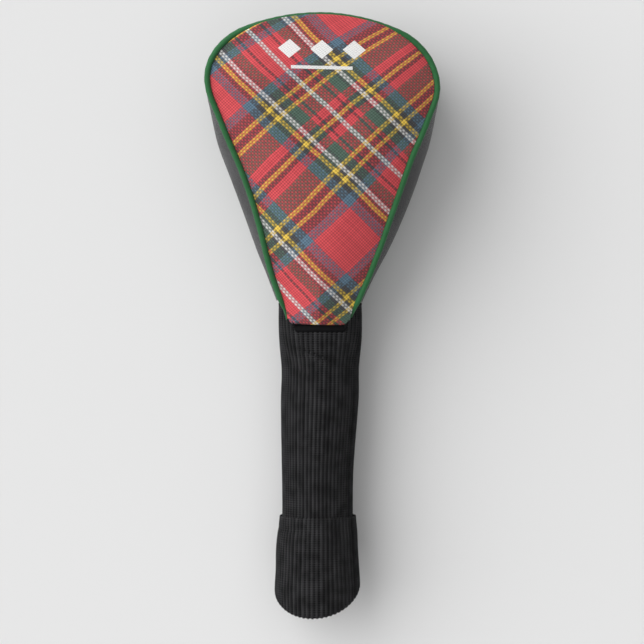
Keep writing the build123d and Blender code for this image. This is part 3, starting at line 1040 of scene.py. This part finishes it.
def sock_piece(name, start, end, body, *nodes):
    turns = round_turns(RIBS * RIB_COLUMNS)
    d = sock_end(turns, down_rows(start, end, ROW_STEP))
    shape = Shape()
    shape.grid(sock_points(turns, d), knit_cloth(turns, d), closed=True)
    return shape.piece(name, knit, "rib_knit", body, *nodes)


def tube(name, surface, insets, d, looks, body, node):
    """A closed tube between two surfaces. d is rows by columns."""
    turns = round_turns(SMOOTH_COLUMNS)
    shape = Shape()
    outer, inner = [shape.grid(surface(turns, d, inset), closed=True) for inset in insets]
    for end in (0, -1):
        shape.join(outer[end], inner[end])
    return shape.piece(name, *looks, body, node)


def plain_sock(turns, d, inset):
    return sock_points(turns, d, inset, relief=False)


def plain_cuff(turns, d, inset):
    """A smooth surface inside the cuff, which clears the sock that slides in it."""
    bore = CUFF_BORE + BORE_SPREAD * (BORE_DEEPEST - inset)
    radius = np.maximum(through(CUFF_RADII, d) - inset, bore)
    return round_axis(radius, 2 * pi * turns, d)


def bend_over(parent, child, centre):
    """Two bodies, and the points where a bend between them would start and end; nothing here makes
    the bend.
    """
    ends = [(0, (mouth_y - centre + off) / MM, axis_z / MM) for off in (BEND_REACH, -BEND_REACH)]
    return (parent, child, *ends)


def cuff_profile(length):
    """The cuff's section at one angle: radius, d, and the way out in radius and d."""
    rows = []
    top = CUFF_TOP + CUFF_LIP
    start_radius = float(through(CUFF_RADII, top)) - CUFF_LIP
    for angle in np.linspace(-90, 90, LIP_ROWS)[:-1]:
        way = (sin(radians(angle)), -cos(radians(angle)))
        rows.append((start_radius + CUFF_LIP * way[0], top + CUFF_LIP * way[1], *way))
    count = int((sock_length - 2 * HEM_FOLD - CUFF_TOP) / ROW_STEP)
    for d in np.linspace(top, length - HEM_FOLD, count):
        rows.append((float(through(CUFF_RADII, d)), d, 1.0, 0.0))
    end_radius = rows[-1][0] - HEM_FOLD
    for angle in np.linspace(0, 180, FOLD_ROWS)[1:-1]:
        way = (cos(radians(angle)), sin(radians(angle)))
        rows.append((end_radius + HEM_FOLD * way[0], length - HEM_FOLD + HEM_FOLD * way[1], *way))
    for back in np.linspace(0, HEM_RETURN, RETURN_ROWS):
        rows.append((end_radius - HEM_FOLD, length - HEM_FOLD - back, -1.0, 0.0))
    return np.array(rows)


def hem_at(angle):
    """Distance from the mouth to the slanted hem at each angle."""
    return sock_length - HEM_DROP * (1 - np.sin(angle - HEM_TURN))


def cuff_piece():
    turns = round_turns(RIBS * RIB_COLUMNS)
    angle = 2 * pi * turns[0]
    profiles = np.stack([cuff_profile(length) for length in hem_at(angle)], 1)
    radius, d, out_r, out_d = np.moveaxis(profiles, -1, 0)
    steps = np.hypot(np.diff(radius, axis=0), np.diff(d, axis=0))
    along = CUFF_TOP + np.cumsum(np.pad(steps, ((1, 0), (0, 0))), axis=0)
    relief = rib_relief(turns, along) * ease(along - CUFF_TOP, *CUFF_RIBS_FROM)
    soft = ripple(d, turns * CUFF_ROUND, *CUFF_WAVES)
    dent_d, dent_width, dent_depth = CUFF_DENT
    dent = dent_depth * np.exp(-(((d - dent_d) / dent_width) ** 2))
    dent = dent * np.clip(np.sin(angle - CUFF_DENT_TURN), 0, 1)
    radius = radius + soft + (relief - dent) * out_r
    shape = Shape()
    shape.grid(round_axis(radius, angle, d + relief * out_d), knit_cloth(turns, along), closed=True)
    return shape.piece("cuff_knit", knit, "rib_knit", "cuff", "cuff")


def binding_piece():
    """The bound edge between the shell and the sock."""
    turns = round_turns(360)
    edge = mouth_edge(2 * pi * turns)
    front_or_back = ease(from_side(2 * pi * turns), 46, 60)
    fullness = BINDING_AT_SIDES + (1 - BINDING_AT_SIDES) * front_or_back
    rows = [plain_sock(turns, edge + down, -out * fullness) for down, out in BINDING_PROFILE]
    shape = Shape()
    shape.grid(np.concatenate(rows), closed=True)
    shape.piece("mouth_binding_tape", binding_cloth, "binding_cloth", "shell", "mouth_binding")


neck_bend = bend_over("shell", "sock_upper", neck_bend_at)
sway_bend = bend_over("sock_upper", "sock_lower", sway_at)
wool, tape = (fleece, "lining"), (elastic, "elastic")
smooth_turns = round_turns(SMOOTH_COLUMNS)
neck_rows = down_rows(SOCK_TOP, SOCK_SPLIT, LINING_STEP)
body_rows = sock_end(smooth_turns, down_rows(SOCK_SPLIT, SOCK_HIDDEN_END, LINING_STEP))
band_rows = down_rows(0, ELASTIC_WIDTH, BAND_STEP)
lining_from = CUFF_TOP + CUFF_LINING_FROM
lining_length = hem_at(2 * pi * smooth_turns) - CUFF_LINING_SHORT - lining_from
lining_rows = lining_from + np.linspace(0, 1, 16)[:, None] * lining_length

sock_piece("sock_neck", SOCK_TOP, SOCK_SPLIT, neck_bend, "sock_collar", "sock_upper")
sock_piece("sock_body", SOCK_SPLIT, SOCK_HIDDEN_END, sway_bend, "sock_lower")
band, cuff_band = band_rows + MOUTH_ELASTIC_FROM, band_rows + CUFF_TOP + CUFF_ELASTIC_FROM
tube("sock_neck_fleece", plain_sock, SOCK_LINING, neck_rows, wool, neck_bend, "sock_upper_lining")
tube("sock_body_fleece", plain_sock, SOCK_LINING, body_rows, wool, sway_bend, "sock_lower_lining")
tube("mouth_elastic_band", plain_sock, MOUTH_ELASTIC, band, tape, "shell", "mouth_elastic")
cuff_piece()
tube("cuff_fleece", plain_cuff, CUFF_LINING, lining_rows, wool, "cuff", "cuff_lining")
tube("cuff_elastic_band", plain_cuff, CUFF_ELASTIC, cuff_band, tape, "cuff", "cuff_elastic")
binding_piece()

# ---- floor, lights, camera ----
FLOOR_HALF = 12.0
PAPER = (0.80, 0.80, 0.80)
# The soft lights from the left: elevation, spread in degrees, share of the light on the floor.
KEY_LIGHT = (35.0, 74.0, 0.43)
TOP_LIGHT = (66.0, 120.0, 0.33)
SKY_SHARE = 0.24
LIGHT_TURN = -0.45  # towards the sock
CAMERA_HEIGHT, CAMERA_LENS = 1.286, 121.9
CAMERA_PAST_MOUTH = 1.7  # in millimetres


mesh = bpy.data.meshes.new("floor")
corners = [(-1, -1), (1, -1), (1, 1), (-1, 1)]
points = [(x * FLOOR_HALF, y * FLOOR_HALF, cad_bounds[0][2]) for x, y in corners]
mesh.from_pydata(points, [], [(0, 1, 2, 3)])
mesh.materials.append(Tree("studio_paper", PAPER, 1.0, Specular_IOR_Level=0.0).material)
added("floor", mesh)

for name, (elevation, spread, share) in {"key_light": KEY_LIGHT, "top_light": TOP_LIGHT}.items():
    light = bpy.data.lights.new(name, "SUN")
    light.angle = radians(spread)
    light.energy = share * pi / sin(radians(elevation))
    level = cos(radians(elevation))
    away = Vector((level * cos(LIGHT_TURN), level * sin(LIGHT_TURN), -sin(radians(elevation))))
    added(name, light).rotation_euler = away.to_track_quat("-Z", "Y").to_euler()

scene.world = bpy.data.worlds.new("studio")
scene.world.use_nodes = True
background = scene.world.node_tree.nodes["Background"]
background.inputs["Color"].default_value = (1, 1, 1, 1)
background.inputs["Strength"].default_value = SKY_SHARE
scene.view_settings.view_transform = "Standard"

lens = bpy.data.cameras.new("camera")
lens.sensor_width = 36.0
lens.lens = CAMERA_LENS
scene.camera = added("camera", lens)
scene.camera.location = (0, (mouth_y + CAMERA_PAST_MOUTH) / MM, CAMERA_HEIGHT)
